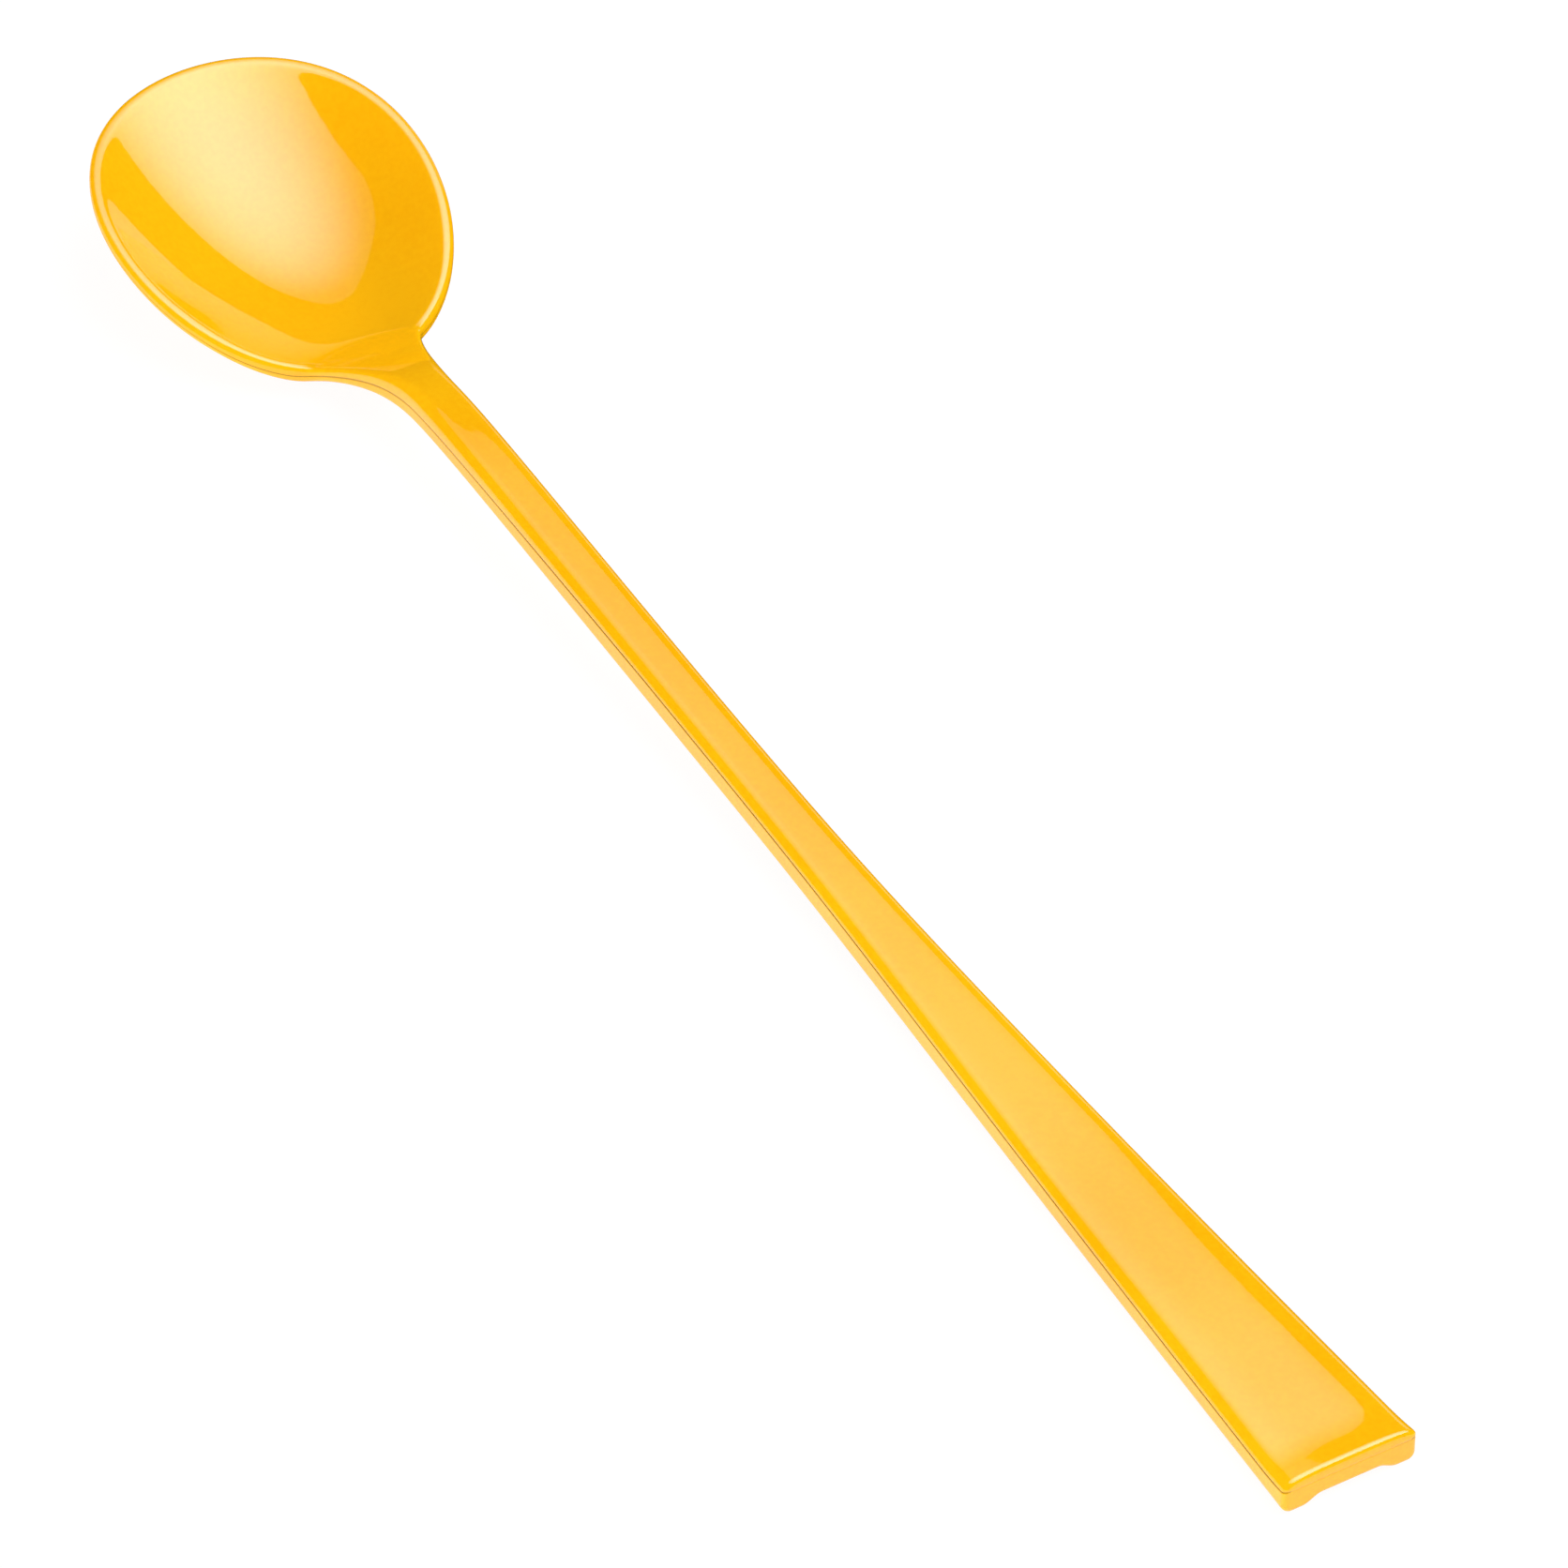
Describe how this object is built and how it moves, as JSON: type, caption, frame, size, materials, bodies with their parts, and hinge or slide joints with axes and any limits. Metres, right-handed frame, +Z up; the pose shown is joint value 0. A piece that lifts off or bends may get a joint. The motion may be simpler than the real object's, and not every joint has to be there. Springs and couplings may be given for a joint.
{
  "type": "long-handled spoon",
  "caption": "Long-handled moulded spoon with a round dished bowl, a raised neck and a slim handle that flares to a square end, for stirring and eating from tall glasses.",
  "frame": {"origin": "centre of the spoon's bounding box, on the table it lies on", "axes": "+X along the spoon from the bowl's tip to the handle's end, +Z up out of the table with the bowl facing up, Y = 0 is the mirror plane"},
  "size_m": [0.2, 0.0324, 0.0126],
  "materials": {
    "amber_plastic": "polished moulding"
  },
  "bodies": {
    "root": {"bowl": "amber_plastic", "neck": "amber_plastic", "shaft": "amber_plastic", "flared_end": "amber_plastic"}
  },
  "joints": []
}
